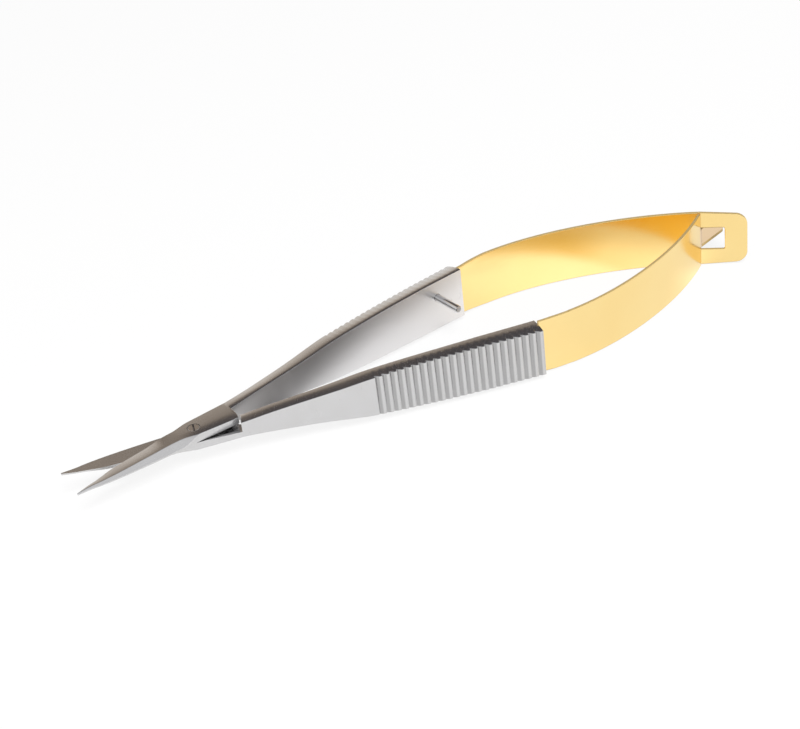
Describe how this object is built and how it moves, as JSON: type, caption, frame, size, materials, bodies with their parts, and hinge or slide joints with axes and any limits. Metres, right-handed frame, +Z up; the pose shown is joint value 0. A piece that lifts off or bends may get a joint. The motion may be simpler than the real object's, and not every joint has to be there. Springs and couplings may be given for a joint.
{
  "type": "eyelash scissors",
  "caption": "Spring-handle micro scissors: two ribbed steel arms on a flush screw, fine pointed blades, and crossed gold spring leaves that open them.",
  "frame": {"origin": "on the pivot axis, at the underside of the lower arm's boss", "axes": "+X along the scissors from the pivot towards the crossed springs, blades towards -X; +Y towards the upper arm's handle; +Z up along the pivot, towards the screw's head"},
  "size_m": [0.1127, 0.0258, 0.0092],
  "materials": {
    "satin_steel": "satin stainless steel, fine grinding marks across the handles",
    "polished_steel": "bright polished steel",
    "gold_plate": "gold-tone plated spring steel strip, polished"
  },
  "bodies": {
    "near_arm": {"near_arm": "satin_steel", "pivot_screw": "polished_steel", "near_leaf_pin_front": "satin_steel", "near_leaf_pin_rear": "satin_steel"},
    "far_arm": {"far_arm": "satin_steel", "stop_pin": "polished_steel", "far_leaf_pin_front": "satin_steel", "far_leaf_pin_rear": "satin_steel"},
    "near_leaf": {"near_leaf": "gold_plate"},
    "far_leaf": {"far_leaf": "gold_plate"}
  },
  "joints": [
    {"name": "pivot", "type": "hinge", "parent": "near_arm", "child": "far_arm", "pos_m": [0, 0, 0.0013], "axis": [0, 0, -1], "range_deg": [0, 18.6], "stiffness_Nm_per_rad": 0.3},
    {"name": "near_leaf_flex", "type": "hinge", "parent": "near_arm", "child": "near_leaf", "pos_m": [0.05031, -0.01085, 0.0012], "axis": [0, 0, -1], "range_deg": [0, 22.4], "deforming": ["near_leaf"]},
    {"name": "far_leaf_flex", "type": "hinge", "parent": "far_arm", "child": "far_leaf", "pos_m": [0.05031, 0.01085, 0.0012], "axis": [0, 0, 1], "range_deg": [0, 22.4], "deforming": ["far_leaf"]}
  ],
  "couplings": [
    {"joint": "near_leaf_flex", "follows": "pivot", "ratio": 1.2},
    {"joint": "far_leaf_flex", "follows": "pivot", "ratio": 1.2}
  ]
}
